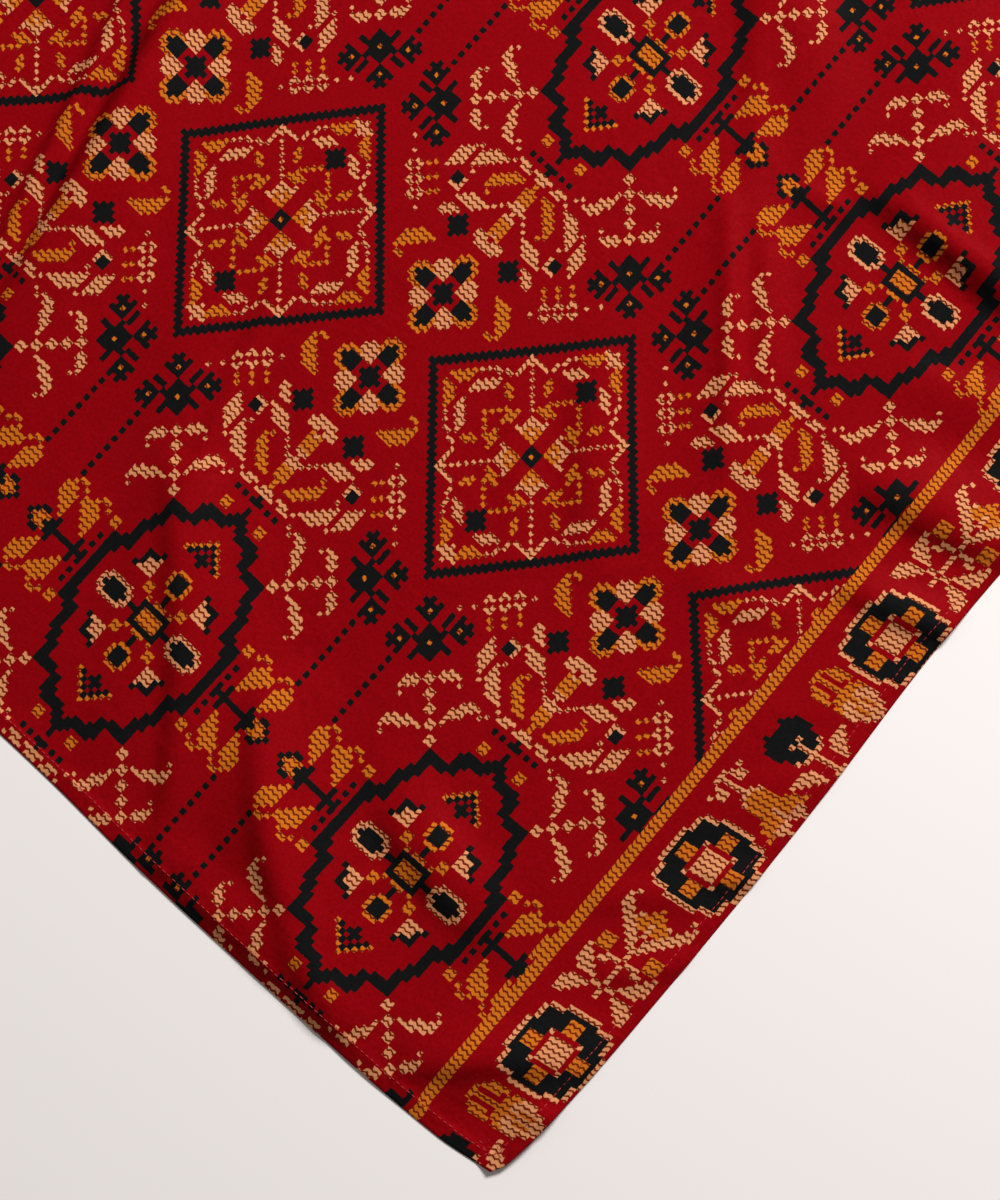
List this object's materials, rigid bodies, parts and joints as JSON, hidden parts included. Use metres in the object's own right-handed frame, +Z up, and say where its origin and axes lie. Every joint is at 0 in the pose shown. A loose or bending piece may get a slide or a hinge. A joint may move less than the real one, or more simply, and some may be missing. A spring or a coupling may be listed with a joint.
{
  "type": "printed dupatta laid flat",
  "caption": "Long rectangular scarf of thin printed cloth with narrow turned hems, laid open and flat with soft low folds.",
  "frame": {"origin": "under the middle of the cloth's box, on the surface that it lies on", "axes": "+X across the cloth, towards the bordered side that the picture shows; +Y along its length, away from the end that the picture shows; +Z up from the surface"},
  "size_m": [0.97, 2.3, 0.0092],
  "materials": {
    "printed_cloth": "soft satin crepe, red ground with a black, cream and ochre print",
    "hem": "turned hem of the same cloth, stitched with red thread"
  },
  "bodies": {
    "root": {"panel": "printed_cloth", "near_end_hem": "hem", "far_end_hem": "hem", "right_side_hem": "hem", "left_side_hem": "hem"}
  },
  "joints": []
}
